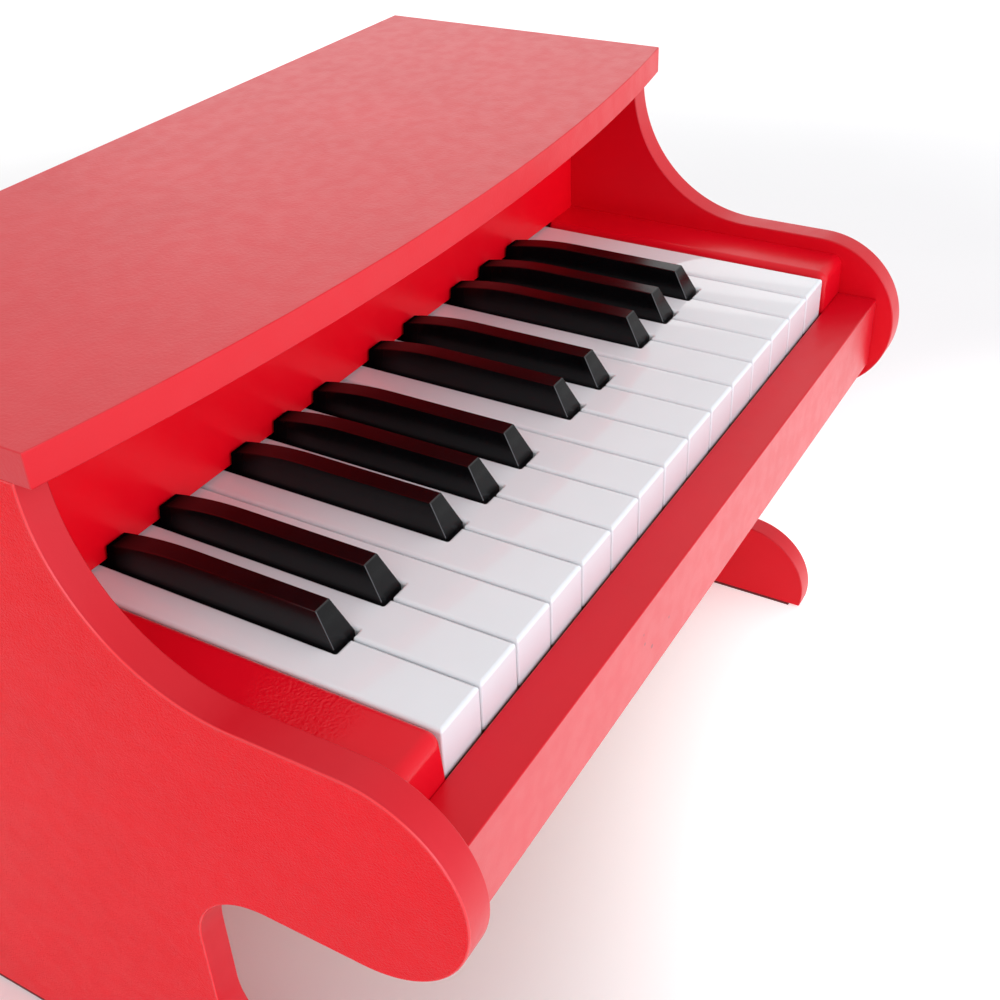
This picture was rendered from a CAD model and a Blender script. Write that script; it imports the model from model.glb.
"""Looks of the toy piano. Lengths are in millimetres, measured from the middle of the key fronts
at the level of the key tops, and place() turns them into metres in the row frame."""

import math
import random

import bmesh
import bpy
from mathutils import Matrix, Vector


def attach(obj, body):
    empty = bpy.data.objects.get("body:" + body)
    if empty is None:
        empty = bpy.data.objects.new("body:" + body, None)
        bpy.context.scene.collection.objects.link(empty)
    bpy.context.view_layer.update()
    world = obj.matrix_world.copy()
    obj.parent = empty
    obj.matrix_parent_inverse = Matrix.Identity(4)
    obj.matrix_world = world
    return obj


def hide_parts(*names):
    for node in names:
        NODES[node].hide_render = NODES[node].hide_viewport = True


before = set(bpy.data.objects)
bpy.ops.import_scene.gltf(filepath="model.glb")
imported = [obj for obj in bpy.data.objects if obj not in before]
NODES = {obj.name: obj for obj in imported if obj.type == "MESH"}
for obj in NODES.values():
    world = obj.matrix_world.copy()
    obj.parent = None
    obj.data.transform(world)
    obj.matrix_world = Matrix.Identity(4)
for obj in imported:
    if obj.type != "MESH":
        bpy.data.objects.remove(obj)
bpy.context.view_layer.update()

# ---------------------------------------------------------------- sizes, as in the source
KEY_Y, KEY_Z = -119.0, 227.0
PITCH, KEY_LENGTH, KEY_HEAD, KEY_GAP = 23.5, 152.0, 49.6, 0.9
KEY_DEPTH, SKIN = 20.0, 2.0
KEY_EDGE, KEY_CORNER, KEY_INNER, LEAST_ROUND = 1.5, 0.8, 0.4, 0.1
KEY_CROWN, CROWN_STRIP, KEY_LEAN = 560.0, 2.3, 0.0016
BLACK_W, BLACK_H, BLACK_TOP, BLACK_SLOPE = 11.9, 12.0, 7.8, 7.2
BLACK_FRONT, BLACK_FLAT, BLACK_CURVE = KEY_HEAD + 1.4, 115.0, 145.0
BLACK_END, BLACK_EDGE_R = KEY_LENGTH - 0.8, 0.4
GLOSS_FADE = (20.0, 1.7)
TAIL_W, TAIL_END = 11.0, KEY_LENGTH + 83
WHITE_TAIL, BLACK_TAIL = KEY_LENGTH + 12, KEY_LENGTH - 4
PIVOT_Y, PIVOT_Z, LIP, BOSS, SADDLE = KEY_LENGTH + 23, -22.0, 0.9, 6.0, 1.58
NOTES, WHITES = 25, 15
KEYS_W = WHITES * PITCH
NOTCH = BLACK_W + 1.5
INSIDE = KEYS_W / 2 + 25.5
BOARD = 12.0
OUTSIDE = INSIDE + BOARD
PANEL_Y, PANEL_T, PANEL_LOW = KEY_LENGTH + 0.2, 9.0, 1.2
LID_LOW, LID_T, LID_FRONT, LID_BOW = 77.5, 12.5, 88.2, 19.6
REAR, BACK_Y = 269.0, 260.0
FLOOR, FOOT = -227.0, -225.5
BED_TOP, BED_LOW = -42.0, -54.4
SLIP_TOP, SLIP_BACK, SLIP_FRONT = -18.2, -1.2, -21.2
BLOCK_W, BLOCK_TOP, BLOCK_NOSE, BLOCK_SHOULDER = 24.75, 1.7, 5.0, 3.5
STRIP_FRONT, STRIP_REAR = 6.0, REAR - 9
# rounds on the edges of the boards
SIDE_ROUND, LID_ROUND, PANEL_ROUND, SLIP_ROUND, STRIP_ROUND = 0.6, 0.5, 0.4, 0.7, 0.3

# side board, as (y, z) centre and radius of each round
NOSE, NOSE_R = (11, -33), 42
SWEEP, SWEEP_R = (50.5, 74), 65
THROAT, THROAT_R = (50, -110), 35
TOE_RISE, TOE_R = 8.5, 38
TOE = (36.6, FOOT + TOE_RISE)
ANKLE, ANKLE_R = (50, TOE[1] + TOE_R + 35), 35

# scuffs on the front of the slip, as x, z and radius, and the leathery spot on the bass block
SCUFFS = [(-67.4, -41.1, 1.1), (-73.9, -35.1, 0.8), (-75.1, -29.9, 0.6), (-52.2, -38.3, 0.7)]
PATCH, PATCH_R = (-187.3, 43.0, BLOCK_TOP), 26.0

# action: rods in the key bed, in the hammer rail and in the sound block
KEY_ROD_R = 1.55
HAMMER_ROD, HAMMER_ROD_R = (TAIL_END + 7, 5.0), 1.05
TONE_ROD_Y, TONE_ROD_R, TONE_ROD_TOP = TAIL_END + 20, 1.5, 50.1

# floor and sky, in metres and strengths
FLOOR_HALF, SKY = 6.0, 0.83
GLOW_AT, GLOW_REACH, GLOW = (0.2, -0.5, 0), 0.6, 0.6
FAR_REACH, FAR_GLOW = 1.6, 0.3

# the photograph's camera, in metres, millimetres of lens and degrees
CAMERA_AT, SENSOR, LENS = (-0.40954, -0.28621, 0.50870), 36.0, 47.237
CAMERA_HEADING, CAMERA_TILT, CAMERA_ROLL = 58.5564, 55.3828, -2.4891

NAMES = ["c", "cs", "d", "ds", "e", "f", "fs", "g", "gs", "a", "as", "b"]
BLACKS = [1, 3, 6, 8, 10]
# for each note of the octave, the white keys before it, and how far each black key sits off the
# line between its two white keys (in white keys)
WHITE_OF = [0, 0, 1, 1, 2, 3, 3, 4, 4, 5, 5, 6]
SHIFT = {1: -0.09, 3: 0.09, 6: -0.145, 8: 0.0, 10: 0.145}


def note_name(i):
    return NAMES[i % 12] + str(4 + i // 12)


def is_black(i):
    return 0 <= i < NOTES and i % 12 in BLACKS


def white_left(i):
    return (7 * (i // 12) + WHITE_OF[i % 12]) * PITCH - KEYS_W / 2 + KEY_GAP / 2


def white_right(i):
    return white_left(i) + PITCH - KEY_GAP


def black_x(i):
    return (7 * (i // 12) + WHITE_OF[i % 12] + 1 + SHIFT[i % 12]) * PITCH - KEYS_W / 2


def stem(i):
    """Left and right side of a white key between its black neighbours."""
    left = black_x(i - 1) + NOTCH / 2 if is_black(i - 1) else white_left(i)
    right = black_x(i + 1) - NOTCH / 2 if is_black(i + 1) else white_right(i)
    return left, right


def rear_x(i):
    """The middle of a key's tail."""
    return black_x(i) if is_black(i) else sum(stem(i)) / 2


# ---------------------------------------------------------------- mesh tools
def place(x, y, z):
    """A point of the sizes above, in metres in the row frame."""
    return Vector((x / 1000, (y + KEY_Y) / 1000, (z + KEY_Z) / 1000))


def arc(cy, cz, r, start, end, steps):
    """Points round a centre, with the angles in degrees from +Y towards +Z."""
    angles = [math.radians(start + (end - start) * k / steps) for k in range(steps + 1)]
    return [(cy + r * math.cos(a), cz + r * math.sin(a)) for a in angles]


def prism(bm, outline, axis, low, high):
    """Adds a solid with that outline across the axis, from low to high along it."""
    def point(a, b, t):
        return {"x": (t, a, b), "y": (a, t, b), "z": (a, b, t)}[axis]
    ends = [[bm.verts.new(place(*point(a, b, t))) for a, b in outline] for t in (low, high)]
    for end in ends:
        bm.faces.new(end)
    for k in range(len(outline)):
        n = (k + 1) % len(outline)
        bm.faces.new((ends[0][k], ends[0][n], ends[1][n], ends[1][k]))
    bmesh.ops.recalc_face_normals(bm, faces=bm.faces)


def box(bm, low, high):
    x0, y0, z0 = low
    x1, y1, z1 = high
    prism(bm, [(x0, y0), (x1, y0), (x1, y1), (x0, y1)], "z", z0, z1)


def middle(edge):
    """The middle of an edge, in the sizes above."""
    m = (edge.verts[0].co + edge.verts[1].co) / 2 * 1000
    return m.x, m.y - KEY_Y, m.z - KEY_Z


def soften(bm, radius, segments=3, pick=None, angle=28, slot=-1):
    """Rounds the sharp edges that pick() takes, with the slot's material on the round."""
    found = [
        e for e in bm.edges
        if len(e.link_faces) == 2 and e.calc_face_angle(0) > math.radians(angle)
        and (pick is None or pick(*middle(e)))
    ]
    bmesh.ops.bevel(
        bm, geom=found, offset=radius / 1000, offset_type="OFFSET", segments=segments,
        profile=0.5, affect="EDGES", clamp_overlap=True, material=slot,
    )


def paint(bm, index_of):
    """Gives each face the material index that index_of() names for its normal and middle."""
    bm.normal_update()
    for face in bm.faces:
        face.material_index = index_of(face.normal, face.calc_center_median())


def bare(bm, name, *materials):
    """The mesh as an object, with nothing else done to it."""
    mesh = bpy.data.meshes.new(name)
    bm.to_mesh(mesh)
    bm.free()
    for one in materials:
        mesh.materials.append(one)
    obj = bpy.data.objects.new(name, mesh)
    bpy.context.scene.collection.objects.link(obj)
    return obj


def shade(obj):
    """Smooth faces that stay sharp at real edges."""
    for p in obj.data.polygons:
        p.use_smooth = True
    obj.data.set_sharp_from_angle(angle=math.radians(30))
    weighted = obj.modifiers.new("normals", "WEIGHTED_NORMAL")
    weighted.keep_sharp = True


def piece(bm, name, materials, body, slot, *replaced):
    """Makes the visible piece, on its body, in its slot, in the place of the CAD nodes."""
    obj = bare(bm, name, *materials)
    shade(obj)
    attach(obj, body)
    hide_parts(*replaced)


# ---------------------------------------------------------------- materials
class Look:
    """Node material with a Principled shader and procedural detail in object space."""

    def __init__(self, name, **sockets):
        self.mat = bpy.data.materials.new(name)
        self.mat.use_nodes = True
        self.tree = self.mat.node_tree
        self.shader = self.tree.nodes["Principled BSDF"]
        for key, value in sockets.items():
            self.shader.inputs[key.replace("_", " ")].default_value = value
        self.coords = self.tree.nodes.new("ShaderNodeTexCoord").outputs["Object"]
        self.height = None

    def node(self, kind, **inputs):
        """A new node, with each input set to a value or joined to a socket."""
        made = self.tree.nodes.new(kind)
        for key, value in inputs.items():
            socket = made.inputs[0 if key == "Value" else key.replace("_", " ")]
            if isinstance(value, bpy.types.NodeSocket):
                self.tree.links.new(value, socket)
            else:
                socket.default_value = value
        return made

    def stretch(self, scale):
        return self.node("ShaderNodeMapping", Vector=self.coords, Scale=scale).outputs[0]

    def noise(self, scale, detail=2.0, rough=0.5, coords=None):
        found = self.coords if coords is None else coords
        return self.node("ShaderNodeTexNoise", Vector=found, Scale=scale, Detail=detail,
                         Roughness=rough).outputs[0]

    def ramp(self, value, stops):
        """Turns a value into a colour, from stops of (position, colour)."""
        made = self.node("ShaderNodeValToRGB", Fac=value)
        elements = made.color_ramp.elements
        while len(elements) < len(stops):
            elements.new(0.5)
        for element, (at, colour) in zip(elements, stops):
            element.position = at
            element.color = (*colour, 1)
        return made.outputs[0]

    def span(self, value, low, high, out_low, out_high):
        """Maps low to high onto the out range, with soft ends."""
        made = self.node("ShaderNodeMapRange", Value=value)
        made.interpolation_type = "SMOOTHSTEP"
        for key, number in zip(("From Min", "From Max", "To Min", "To Max"),
                               (low, high, out_low, out_high)):
            made.inputs[key].default_value = number
        return made.outputs[0]

    def link(self, value, socket):
        self.tree.links.new(value, self.shader.inputs[socket])

    def combine(self, how, first, second):
        made = self.node("ShaderNodeMath", Value=first)
        made.operation = how
        self.tree.links.new(second, made.inputs[1])
        return made.outputs[0]

    def near(self, centre, reach):
        """1 close to the centre, fading to 0 at the reach."""
        made = self.node("ShaderNodeVectorMath", Vector=self.coords)
        made.operation = "DISTANCE"
        made.inputs[1].default_value = centre
        return self.span(made.outputs["Value"], reach * 0.45, reach, 1.0, 0.0)

    def leathery(self, centre, reach, scale, distance):
        """Coarse leathery peel in one spot."""
        pits = self.combine("MULTIPLY", self.near(centre, reach), self.noise(scale, 2, 0.5))
        self.bump(pits, distance)

    def bump(self, value, distance):
        """Adds relief, in metres, on top of the relief that is there."""
        made = self.node("ShaderNodeBump", Height=value, Distance=distance, Strength=1.0)
        if self.height is not None:
            self.tree.links.new(self.height, made.inputs["Normal"])
        self.height = made.outputs[0]
        self.link(self.height, "Normal")


def lacquer(name, peel=1100, depth=0.00002, rough=(0.3, 0.38), grain=0.0, red=0.72, patch=None,
            marks=(), sheen=0.5):
    """Red paint: peel is the scale of its waviness and depth their height in metres, grain the
    height of a finer grain, patch a leathery spot, and marks are small dark scuffs. A roughness
    range never crosses 0.274, where the denoiser starts to draw hard edges."""
    look = Look(name, Specular_IOR_Level=sheen)
    tone = look.noise(22, 3)
    for at, reach in marks:
        tone = look.combine("SUBTRACT", tone, look.near(at, reach))
    scuffed = [(0.0, (0.25, 0.012, 0.018))] if marks else []
    look.link(look.ramp(tone, scuffed + [(0.12, (red * 0.96, 0.0012, 0.010)),
                                         (0.75, (red * 1.04, 0.0018, 0.013))]), "Base Color")
    look.link(look.span(look.noise(120, 2), 0.3, 0.7, *rough), "Roughness")
    look.bump(look.noise(peel, 2.5, 0.55), depth)
    if grain:
        look.bump(look.noise(1500, 2, 0.6), grain)
    if patch:
        look.leathery(*patch)
    return look.mat


def white_plastic():
    look = Look("white_plastic", Subsurface_Weight=0.12, Subsurface_Scale=0.002, IOR=1.5)
    look.shader.inputs["Subsurface Radius"].default_value = (1.0, 0.7, 0.7)
    tone = look.noise(35, 2)
    look.link(look.ramp(tone, [(0.3, (0.755, 0.78, 0.80)), (0.7, (0.775, 0.80, 0.82))]),
              "Base Color")
    look.link(look.span(look.noise(260, 3), 0.3, 0.7, 0.045, 0.07), "Roughness")
    look.bump(look.noise(140, 2), 0.000005)
    return look.mat


def black_plastic(name, sheen, rough):
    """Black moulding whose gloss fades towards the rear end, beside the front panel."""
    look = Look(name, IOR=1.5)
    depth = look.node("ShaderNodeSeparateXYZ", Vector=look.coords).outputs["Y"]
    start, end = ((BLACK_END - before + KEY_Y) / 1000 for before in GLOSS_FADE)
    look.link(look.span(depth, start, end, sheen, 0.0), "Specular IOR Level")
    tone = look.noise(60, 2)
    look.link(look.ramp(tone, [(0.3, (0.0014, 0.0014, 0.0018)), (0.7, (0.0024, 0.0024, 0.003))]),
              "Base Color")
    look.link(look.span(look.noise(900, 3), 0.3, 0.7, *rough), "Roughness")
    look.bump(look.noise(4200, 2), 0.000006)
    return look.mat


def wood(name, light, dark):
    """Plain timber, with its grain along x."""
    look = Look(name)
    long = look.stretch((6, 60, 60))
    rings = look.noise(9, 5, 0.6, long)
    pores = look.noise(60, 3, 0.7, look.stretch((8, 140, 140)))
    look.link(look.ramp(rings, [(0.3, dark), (0.62, light)]), "Base Color")
    look.link(look.span(pores, 0.3, 0.7, 0.5, 0.7), "Roughness")
    look.bump(pores, 0.00006)
    return look.mat


def steel(name, colour, rough):
    look = Look(name, Metallic=1.0)
    streaks = look.noise(30, 4, 0.6, look.stretch((4, 60, 4)))
    look.link(look.ramp(streaks, [(0.3, tuple(c * 0.85 for c in colour)), (0.7, colour)]),
              "Base Color")
    look.link(look.span(streaks, 0.3, 0.7, rough, rough + 0.12), "Roughness")
    look.bump(look.noise(1800, 3), 0.00001)
    return look.mat


def moulded(name, low, high, rough=(0.4, 0.5), scale=1400, depth=0.00002):
    look = Look(name)
    look.link(look.ramp(look.noise(50, 3), [(0.3, low), (0.7, high)]), "Base Color")
    look.link(look.span(look.noise(400, 2), 0.3, 0.7, *rough), "Roughness")
    look.bump(look.noise(scale, 3), depth)
    return look.mat


LID = lacquer("lacquer_lid", peel=720, depth=0.0001, rough=(0.36, 0.42), red=0.63, sheen=0.62)
LID_BAND = lacquer("lacquer_lid_band", peel=900, depth=0.00006, rough=(0.36, 0.42), red=0.66,
                   sheen=0.36)
SIDES = [
    lacquer("lacquer_side_outer", peel=1000, depth=0.00035, grain=0.0008, rough=(0.38, 0.44),
            red=0.94, sheen=0.2),
    lacquer("lacquer_side_inner", grain=0.00003, rough=(0.38, 0.44), red=0.70, sheen=0.2),
    lacquer("lacquer_side_rim", grain=0.00002, rough=(0.34, 0.4), red=0.59, sheen=0.37),
    lacquer("lacquer_side_edge", depth=0.00001, rough=(0.2, 0.26), red=0.8, sheen=0.9),
]
BACK = lacquer("lacquer_back", grain=0.00006, rough=(0.36, 0.42), red=0.76, sheen=0.31)
PANEL = lacquer("lacquer_panel", peel=500, depth=0.00001, rough=(0.29, 0.35), red=0.93,
                sheen=0.4)
SLIP = lacquer("lacquer_slip", grain=0.00002, rough=(0.29, 0.35), red=0.6, sheen=0.29)
SLIP_FACE = lacquer(
    "lacquer_slip_face", grain=0.00004, rough=(0.34, 0.4), red=0.58, sheen=0.82,
    marks=[(place(x, SLIP_FRONT, z), size / 1000) for x, z, size in SCUFFS])
BLOCK = lacquer("lacquer_block", peel=520, depth=0.000005, rough=(0.29, 0.33), red=0.68,
                sheen=0.3, patch=(place(*PATCH), PATCH_R / 1000, 850, 0.0004))
WHITE = white_plastic()
BLACK = black_plastic("black_plastic", 0.25, (0.2, 0.26))
BLACK_EDGE = black_plastic("black_plastic_edge", 0.7, (0.12, 0.18))
WOOD = wood("rail_wood", (0.62, 0.42, 0.23), (0.44, 0.27, 0.13))
STEEL = steel("rod_steel", (0.55, 0.55, 0.57), 0.29)
ZINC = steel("cast_zinc", (0.36, 0.36, 0.38), 0.45)
HAMMER = moulded("hammer_plastic", (0.66, 0.62, 0.52), (0.72, 0.68, 0.58))
RUBBER = moulded("foot_rubber", (0.12, 0.012, 0.014), (0.15, 0.014, 0.017), (0.7, 0.8), 2400)


# ---------------------------------------------------------------- case
def side_outline():
    """From the lid down: sweep, nose of the arm, throat, ankle, toe, and back up."""
    at_lid = math.degrees(math.asin((LID_LOW - SWEEP[1]) / SWEEP_R))
    at_foot = 180 + math.degrees(math.asin(TOE_RISE / TOE_R))
    return (
        arc(*SWEEP, SWEEP_R, at_lid, -90, 40)
        + arc(*NOSE, NOSE_R, 90, 270, 60)
        + arc(*THROAT, THROAT_R, 90, 0, 30)
        + arc(*ANKLE, ANKLE_R, 0, -90, 30)
        + arc(*TOE, TOE_R, 90, at_foot, 40)
        + [(REAR, FOOT), (REAR, LID_LOW)]
    )


def side_face(normal, at):
    """The index in SIDES: outer face, inner face, rim, or the worn outer edge."""
    outer = normal.x * at.x > 0
    if abs(normal.x) > 0.99:
        return 0 if outer else 1
    return 3 if outer and abs(normal.x) > 0.02 else 2


def side_boards():
    outline = side_outline()
    bm = bmesh.new()
    for low in (-OUTSIDE, INSIDE):
        prism(bm, outline, "x", low, low + BOARD)
    soften(bm, SIDE_ROUND, 3, angle=40)
    paint(bm, side_face)
    piece(bm, "side_boards_lacquered", SIDES, "case", "red_lacquer", "side_boards")


def lid():
    """Flat board whose front edge bows forward as one wide arc."""
    radius = (OUTSIDE ** 2 + LID_BOW ** 2) / (2 * LID_BOW)
    count = 96
    front = []
    for k in range(count + 1):
        x = -OUTSIDE + 2 * OUTSIDE * k / count
        front.append((x, LID_FRONT + radius - math.sqrt(radius ** 2 - x * x)))
    bm = bmesh.new()
    prism(bm, front + [(OUTSIDE, REAR), (-OUTSIDE, REAR)], "z", LID_LOW, LID_LOW + LID_T)
    soften(bm, LID_ROUND, 3, angle=40)
    paint(bm, lambda n, at: 1 if n.y < -0.7 else 0)
    piece(bm, "lid_board", [LID, LID_BAND], "case", "red_lacquer", "lid")


def board(name, low, high, radius, materials, *replaced):
    """The first material is for the whole board, a second one for its front."""
    bm = bmesh.new()
    box(bm, low, high)
    soften(bm, radius, 3)
    paint(bm, lambda n, at: 1 if n.y < -0.9 and len(materials) > 1 else 0)
    piece(bm, name, materials, "case", "red_lacquer", *replaced)


def key_blocks():
    """The block at each end of the keys, rounded over its front and its inner shoulder."""
    bm = bmesh.new()
    for side in (-1, 1):
        inner = side * (INSIDE - BLOCK_W)
        box(bm, (min(inner, side * INSIDE), SLIP_BACK, BED_TOP),
            (max(inner, side * INSIDE), PANEL_Y, BLOCK_TOP))
    soften(bm, BLOCK_NOSE, 8, pick=lambda x, y, z: y < SLIP_BACK + 0.1 and z > BLOCK_TOP - 0.1)
    soften(bm, BLOCK_SHOULDER, 6, angle=8,
           pick=lambda x, y, z: abs(x) < INSIDE - BLOCK_W + 0.1
           and z > BLOCK_TOP - BLOCK_NOSE - 0.1 and y < PANEL_Y - 0.1)
    piece(bm, "key_blocks_lacquered", [BLOCK], "case", "red_lacquer", "key_blocks")


def foot_strips():
    bm = bmesh.new()
    for low in (-OUTSIDE, INSIDE):
        box(bm, (low, STRIP_FRONT, FLOOR), (low + BOARD, STRIP_REAR, FOOT))
    soften(bm, STRIP_ROUND, 2)
    piece(bm, "foot_strips_rubber", [RUBBER], "case", "foot_rubber", "foot_strips")


# ---------------------------------------------------------------- keys
def union(first, second):
    """Joins the second closed mesh into the first."""
    made = first.modifiers.new("join", "BOOLEAN")
    made.operation, made.solver, made.object = "UNION", "EXACT", second
    graph = bpy.context.evaluated_depsgraph_get()
    mesh = bpy.data.meshes.new_from_object(first.evaluated_get(graph))
    first.modifiers.remove(made)
    first.data = mesh
    bpy.data.objects.remove(second)


def tail(x, start, material):
    """Rear of a key with the open saddle that snaps over the key rod."""
    lip_angle = math.degrees(math.acos(LIP / SADDLE))
    low = PIVOT_Z - LIP
    outline = (
        [(start, 0), (start, -KEY_DEPTH), (PIVOT_Y - BOSS, -KEY_DEPTH), (PIVOT_Y - BOSS, low)]
        + arc(PIVOT_Y, PIVOT_Z, SADDLE, -90 - lip_angle, -270 + lip_angle - 180, 24)
        + [(PIVOT_Y + BOSS, low), (PIVOT_Y + BOSS, -KEY_DEPTH), (TAIL_END, -KEY_DEPTH),
           (TAIL_END, 0)]
    )
    bm = bmesh.new()
    prism(bm, outline, "x", x - TAIL_W / 2, x + TAIL_W / 2)
    return bare(bm, "tail", material)


def hollow(bm, depth):
    """Opens the underside, with walls as thick as the skin."""
    low = min(v.co.z for v in bm.verts)
    flat = [f for f in bm.faces if all(abs(v.co.z - low) < 1e-6 for v in f.verts)]
    under = max(flat, key=lambda f: f.calc_area())
    bmesh.ops.inset_region(bm, faces=[under], thickness=SKIN / 1000, use_even_offset=True)
    made = bmesh.ops.extrude_face_region(bm, geom=[under])
    verts = [v for v in made["geom"] if isinstance(v, bmesh.types.BMVert)]
    bmesh.ops.translate(bm, verts=verts, vec=(0, 0, depth / 1000))
    bmesh.ops.delete(bm, geom=[under], context="FACES_ONLY")
    bmesh.ops.recalc_face_normals(bm, faces=bm.faces)


def shown_key(obj, i, slot):
    """Names and shades the finished key and puts it in the place of its CAD node."""
    node = "key_" + note_name(i)
    obj.name = slot + "_" + note_name(i)
    obj.data.name = obj.name
    shade(obj)
    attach(obj, node)
    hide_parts(node)


def heading(start, end):
    """Direction from one corner to the next, along x or y."""
    return [(b > a) - (b < a) for a, b in zip(start, end)]


def key_ring(bm, corners, inset, z, steps=4):
    """One level of a white key: the plan outline moved inwards, with its corners rounded."""
    verts = []
    count = len(corners)
    for k in range(count):
        at = corners[k]
        into, away = heading(corners[k - 1], at), heading(at, corners[(k + 1) % count])
        convex = into[0] * away[1] - into[1] * away[0] > 0
        radius = KEY_CORNER if convex else KEY_INNER
        turned = max(radius - inset, LEAST_ROUND) if convex else radius + inset
        reach = turned + inset if convex else radius
        cx, cy = (at[j] + reach * (away[j] - into[j]) for j in (0, 1))
        for step in range(steps + 1):
            a = math.pi / 2 * step / steps
            dx, dy = (turned * (into[j] * math.sin(a) - away[j] * math.cos(a)) for j in (0, 1))
            verts.append(bm.verts.new(place(cx + dx, cy + dy, z)))
    return verts


def skin_rings(bm, rings):
    for low, high in zip(rings, rings[1:]):
        for k in range(len(low)):
            n = (k + 1) % len(low)
            bm.faces.new((low[k], low[n], high[n], high[k]))


def crown_top(bm, top, centre, rng):
    """Gives the key top its slight crown and its own small lean."""
    geom = [top] + list(top.edges) + list(top.verts)
    cuts = [((0, KEY_HEAD, 0), (0, 1, 0))]
    cuts += [((centre + CROWN_STRIP * k, 0, 0), (1, 0, 0)) for k in range(-4, 5)]
    for at, across in cuts:
        made = bmesh.ops.bisect_plane(bm, geom=geom, dist=1e-7, plane_co=place(*at),
                                      plane_no=across)
        geom = made["geom"]
    lean = rng.uniform(-KEY_LEAN, KEY_LEAN)
    for v in bm.verts:
        z = v.co.z * 1000 - KEY_Z
        if z > -KEY_EDGE - 0.01:
            off = v.co.x * 1000 - centre
            v.co.z -= (off * off / (2 * KEY_CROWN) + lean * off + abs(lean) * PITCH / 2) / 1000


def white_key(i, rng):
    left, right = white_left(i), white_right(i)
    s_left, s_right = stem(i)
    end = WHITE_TAIL + 1
    corners = [(left, 0), (right, 0)]
    corners += [(right, KEY_HEAD), (s_right, KEY_HEAD)] if s_right < right else []
    corners += [(s_right, end), (s_left, end)]
    corners += [(s_left, KEY_HEAD), (left, KEY_HEAD)] if s_left > left else []
    bm = bmesh.new()
    rings = [key_ring(bm, corners, SKIN, -SKIN), key_ring(bm, corners, SKIN, -KEY_DEPTH),
             key_ring(bm, corners, 0, -KEY_DEPTH)]
    for step in range(7):
        a = math.pi / 2 * step / 6
        rings.append(key_ring(bm, corners, KEY_EDGE * (1 - math.cos(a)),
                              -KEY_EDGE * (1 - math.sin(a))))
    skin_rings(bm, rings)
    bm.faces.new(rings[0])
    top = bm.faces.new(rings[-1])
    crown_top(bm, top, (left + right) / 2, rng)
    bmesh.ops.recalc_face_normals(bm, faces=bm.faces)
    body = bare(bm, "head", WHITE)
    union(body, tail(rear_x(i), WHITE_TAIL, WHITE))
    shown_key(body, i, "white_key")


def black_top(y):
    if y <= BLACK_FLAT:
        return BLACK_H
    return BLACK_H - BLACK_CURVE + math.sqrt(BLACK_CURVE ** 2 - (y - BLACK_FLAT) ** 2)


def black_key(i):
    middle_x = black_x(i)
    lean = (BLACK_W - BLACK_TOP) / 2 / BLACK_H
    stations = [BLACK_FRONT + BLACK_SLOPE, BLACK_FLAT]
    stations += [BLACK_FLAT + (BLACK_END - BLACK_FLAT) * k / 12 for k in range(1, 13)]
    bm = bmesh.new()
    rows = []
    for side in (-1, 1):
        def vert(y, z):
            half = BLACK_W / 2 - lean * max(z, 0)
            return bm.verts.new(place(middle_x + side * half, y, z))
        rows.append({
            "low_front": vert(BLACK_FRONT, -KEY_DEPTH), "front": vert(BLACK_FRONT, 0),
            "top": [vert(y, black_top(y)) for y in stations],
            "back": vert(BLACK_END, 0), "low_back": vert(BLACK_END, -KEY_DEPTH),
        })
    for row in rows:
        bm.faces.new([row["front"]] + row["top"] + [row["back"]])
        bm.faces.new([row["low_front"], row["front"], row["back"], row["low_back"]])
    left, right = rows
    bm.faces.new([left["low_front"], right["low_front"], right["front"], left["front"]])
    bm.faces.new([left["front"], right["front"], right["top"][0], left["top"][0]])
    for k in range(len(stations) - 1):
        bm.faces.new([left["top"][k], right["top"][k], right["top"][k + 1], left["top"][k + 1]])
    bm.faces.new([left["top"][-1], right["top"][-1], right["back"], left["back"]])
    bm.faces.new([left["back"], right["back"], right["low_back"], left["low_back"]])
    bm.faces.new([left["low_back"], right["low_back"], right["low_front"], left["low_front"]])
    bmesh.ops.recalc_face_normals(bm, faces=bm.faces)
    hollow(bm, KEY_DEPTH - SKIN)
    soften(bm, BLACK_EDGE_R, 3, angle=25, pick=lambda x, y, z: z > 0.5, slot=1)
    body = bare(bm, "head", BLACK, BLACK_EDGE)
    union(body, tail(middle_x, BLACK_TAIL, BLACK))
    shown_key(body, i, "black_key")


# ---------------------------------------------------------------- inside
def paint_by_place(node, first, second, test):
    """Gives the CAD node one look, and another to the faces that test() takes."""
    mesh = NODES[node].data
    mesh.materials.clear()
    mesh.materials.append(first)
    mesh.materials.append(second)
    for p in mesh.polygons:
        x, y, z = p.center * 1000
        p.material_index = 1 if test(x, y - KEY_Y, z - KEY_Z) else 0


def inside():
    """Gives the untouched nodes their looks, with steel on the rods."""
    paint_by_place("key_bed", WOOD, STEEL,
                   lambda x, y, z: math.dist((y, z), (PIVOT_Y, PIVOT_Z)) < KEY_ROD_R
                   and z > PIVOT_Z - 1)
    paint_by_place("hammer_rail", WOOD, STEEL,
                   lambda x, y, z: math.dist((y, z), HAMMER_ROD) < HAMMER_ROD_R)
    paint_by_place("sound_block", ZINC, STEEL,
                   lambda x, y, z: abs(y - TONE_ROD_Y) < TONE_ROD_R and z < TONE_ROD_TOP)
    for i in range(NOTES):
        mesh = NODES["hammer_" + note_name(i)].data
        mesh.materials.clear()
        mesh.materials.append(HAMMER)


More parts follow.
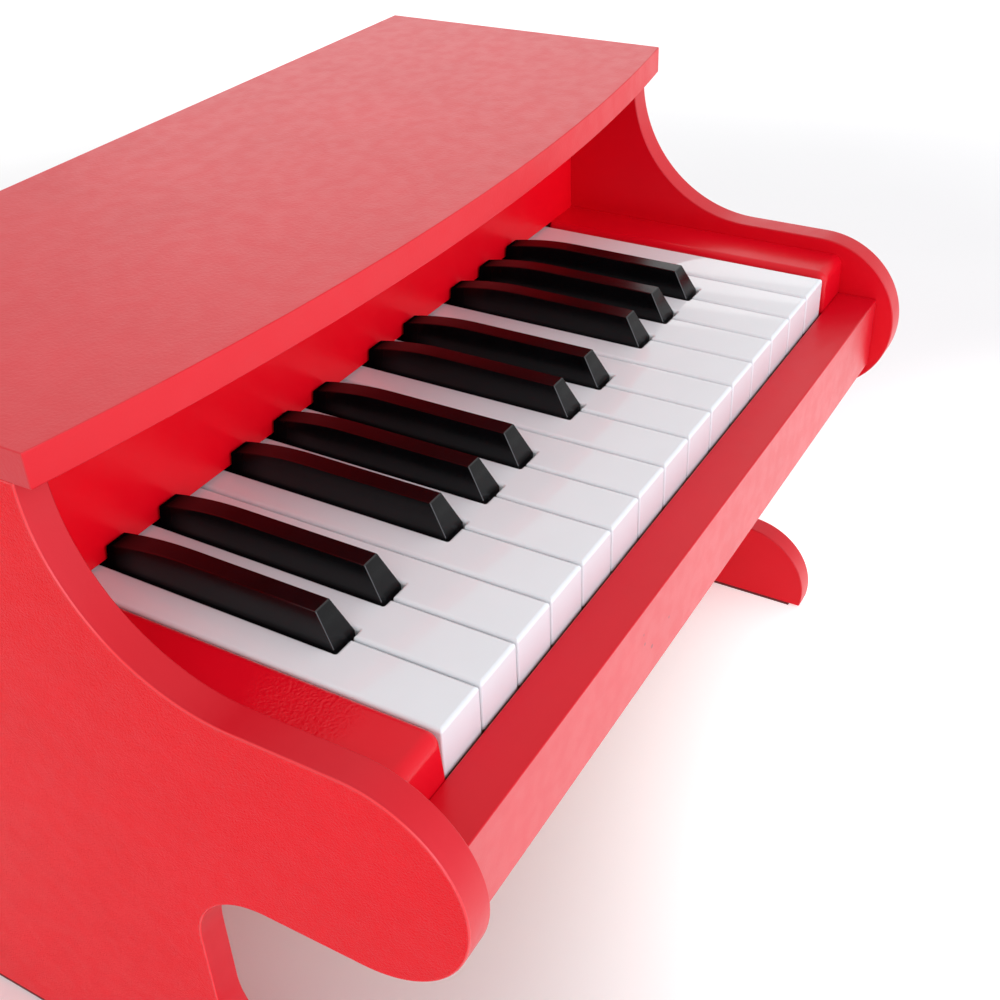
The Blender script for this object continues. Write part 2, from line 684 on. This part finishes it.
# ---------------------------------------------------------------- stage
def stage():
    """Plain white floor with a faint glow of its own, under an even white sky."""
    mesh = bpy.data.meshes.new("floor")
    s = FLOOR_HALF
    mesh.from_pydata([(-s, -s, 0), (s, -s, 0), (s, s, 0), (-s, s, 0)], [], [(0, 1, 2, 3)])
    floor = bpy.data.objects.new("floor", mesh)
    bpy.context.scene.collection.objects.link(floor)
    look = Look("studio_floor", Roughness=0.9, Emission_Color=(1, 1, 1, 1))
    front = look.span(look.near(GLOW_AT, GLOW_REACH), 0, 1, 0, GLOW)
    far = look.span(look.near((0, 0, 0), FAR_REACH), 0, 1, FAR_GLOW, 0)
    look.link(look.combine("ADD", front, far), "Emission Strength")
    look.link(look.ramp(look.noise(3), [(0.3, (0.9, 0.9, 0.9)), (0.7, (0.92, 0.92, 0.92))]),
              "Base Color")
    mesh.materials.append(look.mat)
    world = bpy.data.worlds.new("studio")
    world.use_nodes = True
    sky = world.node_tree.nodes["Background"].inputs
    sky["Color"].default_value, sky["Strength"].default_value = (1, 1, 1, 1), SKY
    bpy.context.scene.world = world


def area_light(name, at, target_z, size, radiance, colour=(1, 1, 1)):
    """A soft light aimed at the middle of the piano, that high above the floor (metres)."""
    data = bpy.data.lights.new(name, "AREA")
    data.color = colour
    data.shape, data.size, data.size_y = "RECTANGLE", size[0], size[1]
    data.energy = math.pi * size[0] * size[1] * radiance
    obj = bpy.data.objects.new(name, data)
    obj.location = at
    aim = Vector((0, 0, target_z)) - Vector(at)
    obj.rotation_euler = aim.to_track_quat("-Z", "Y").to_euler()
    bpy.context.scene.collection.objects.link(obj)


def lights():
    cool, cooler = (0.96, 0.96, 1.10), (0.94, 0.97, 1.24)
    area_light("wall_low", (2.3, 1.4, 1.1), 0.2, (2.0, 0.8), 0.95)
    area_light("wall_mid", (2.0, 1.25, 1.75), 0.2, (1.8, 1.0), 0.12)
    area_light("wall_left", (0.6, 2.2, 1.5), 0.2, (1.8, 1.4), 0.24)
    area_light("front_low", (-0.4, -2.2, 0.45), 0.1, (2.4, 0.8), 0.80, cooler)
    area_light("front_mid", (-0.2, -2.3, 0.95), 0.15, (2.2, 0.8), 0.83, cooler)
    area_light("front_high", (-0.4, -2.0, 1.5), 0.2, (2.0, 1.2), 1.45, cool)
    area_light("front_right", (1.6, -1.5, 0.5), 0.15, (1.2, 0.9), 0.18)
    area_light("camera_low", (-1.1, -1.7, 0.7), 0.15, (0.9, 1.2), 0.62)
    area_light("camera_side", (-1.4, -1.6, 1.9), 0.2, (1.2, 1.0), 0.56)
    area_light("top", (-0.3, -0.4, 2.6), 0.2, (1.4, 1.4), 0.28)


def camera():
    """The photograph's camera: heading to the right of +Y, tilt up from straight down, roll."""
    data = bpy.data.cameras.new("camera")
    data.sensor_width, data.lens = SENSOR, LENS
    data.clip_start, data.clip_end = 0.01, 50
    obj = bpy.data.objects.new("camera", data)
    obj.matrix_world = (
        Matrix.Translation(CAMERA_AT)
        @ Matrix.Rotation(math.radians(-CAMERA_HEADING), 4, "Z")
        @ Matrix.Rotation(math.radians(CAMERA_TILT), 4, "X")
        @ Matrix.Rotation(math.radians(CAMERA_ROLL), 4, "Z")
    )
    bpy.context.scene.collection.objects.link(obj)
    bpy.context.scene.camera = obj


camera()
side_boards()
lid()
board("front_panel_gloss", (-INSIDE, PANEL_Y, PANEL_LOW), (INSIDE, PANEL_Y + PANEL_T, LID_LOW),
      PANEL_ROUND, [PANEL], "front_panel")
board("back_panel_lacquered", (-INSIDE, BACK_Y, FOOT), (INSIDE, REAR, LID_LOW),
      PANEL_ROUND, [BACK], "back_panel")
board("key_slip_lacquered", (-INSIDE, SLIP_FRONT, BED_LOW), (INSIDE, SLIP_BACK, SLIP_TOP),
      SLIP_ROUND, [SLIP, SLIP_FACE], "key_slip")
key_blocks()
foot_strips()
chance = random.Random(4)
for i in range(NOTES):
    if is_black(i):
        black_key(i)
    else:
        white_key(i, chance)
inside()
stage()
lights()
bpy.context.scene.view_settings.view_transform = "Standard"
